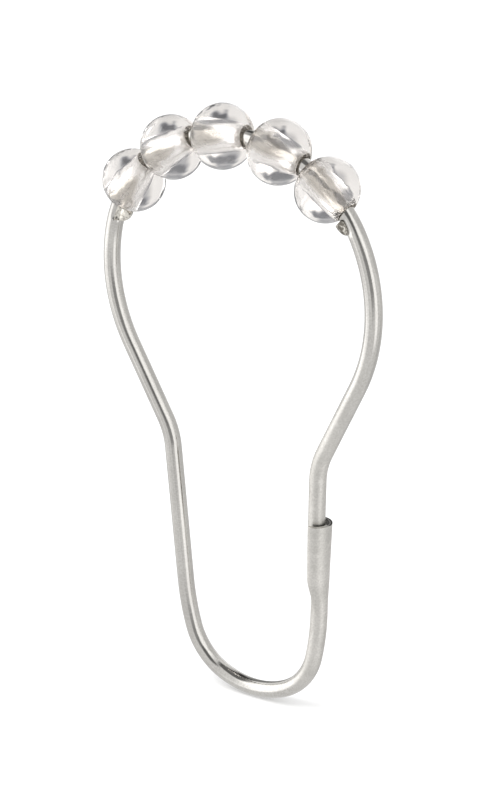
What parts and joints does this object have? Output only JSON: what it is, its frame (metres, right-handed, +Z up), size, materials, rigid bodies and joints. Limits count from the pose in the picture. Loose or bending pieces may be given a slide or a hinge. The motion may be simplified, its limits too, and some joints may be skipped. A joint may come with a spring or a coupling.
{
  "type": "shower curtain roller ring",
  "caption": "Pear-shaped spring wire ring that snaps shut at a side clasp, with clear drilled beads that roll along a curtain rod.",
  "frame": {"origin": "where the curtain rod bears under the middle bead, on the ring's centre plane", "axes": "+Z up along the hanging ring, +X across the loop towards the clasp, +Y along the curtain rod, through the loop"},
  "size_m": [0.0417, 0.0082, 0.0791],
  "materials": {
    "plated_wire": "nickel plate over spring steel wire, smooth with a faint satin grain",
    "clear_acrylic": "polished clear acrylic"
  },
  "bodies": {
    "ring": {"wire_ring": "plated_wire"},
    "bead_1": {"bead_1": "clear_acrylic"},
    "bead_2": {"bead_2": "clear_acrylic"},
    "bead_3": {"bead_3": "clear_acrylic"},
    "bead_4": {"bead_4": "clear_acrylic"},
    "bead_5": {"bead_5": "clear_acrylic"}
  },
  "joints": [
    {"name": "bead_1_roll", "type": "hinge", "parent": "ring", "child": "bead_1", "pos_m": [-0.01561, 0, -0.00304], "axis": [0.6477, 0, 0.7619], "continuous": true},
    {"name": "bead_2_roll", "type": "hinge", "parent": "ring", "child": "bead_2", "pos_m": [-0.00938, 0, 0.00186], "axis": [0.891, 0, 0.4541], "continuous": true},
    {"name": "bead_3_roll", "type": "hinge", "parent": "ring", "child": "bead_3", "pos_m": [-0.00162, 0, 0.00405], "axis": [0.9969, 0, 0.0784], "continuous": true},
    {"name": "bead_4_roll", "type": "hinge", "parent": "ring", "child": "bead_4", "pos_m": [0.00664, 0, 0.00302], "axis": [0.9468, 0, -0.3217], "continuous": true},
    {"name": "bead_5_roll", "type": "hinge", "parent": "ring", "child": "bead_5", "pos_m": [0.01337, 0, -0.00084], "axis": [0.7517, 0, -0.6595], "continuous": true}
  ]
}
